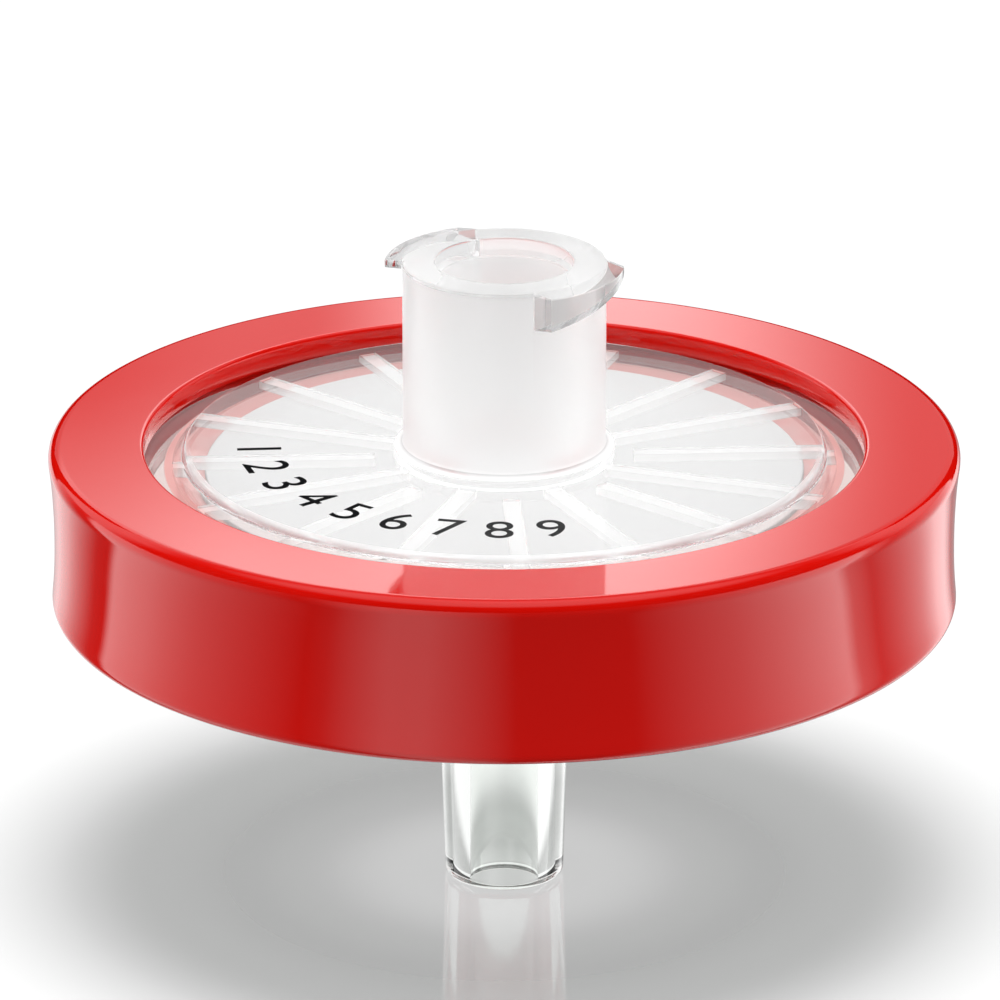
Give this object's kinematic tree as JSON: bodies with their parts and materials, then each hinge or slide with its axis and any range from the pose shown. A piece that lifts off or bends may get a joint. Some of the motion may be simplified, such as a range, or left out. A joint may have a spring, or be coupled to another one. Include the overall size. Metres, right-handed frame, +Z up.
{
  "type": "syringe filter",
  "caption": "Round syringe filter with a female lock inlet, a ribbed clear window over a white disc, a moulded-on red ring and a tapered slip outlet.",
  "frame": {"origin": "middle of the outlet's end face, which the part stands on", "axes": "+Z up the flow axis from the outlet to the inlet; the inlet's two ears are centred 36 degrees clockwise of +X seen from above, and opposite"},
  "size_m": [0.03, 0.03, 0.0215],
  "materials": {
    "inlet_clear": "clear, with a milky inlet barrel",
    "membrane_white": "matt",
    "outlet_clear": "clear",
    "ring_red": "gloss"
  },
  "bodies": {
    "root": {"inlet_housing": "inlet_clear", "membrane": "membrane_white", "outlet_housing": "outlet_clear", "seal_ring": "ring_red"}
  },
  "joints": []
}
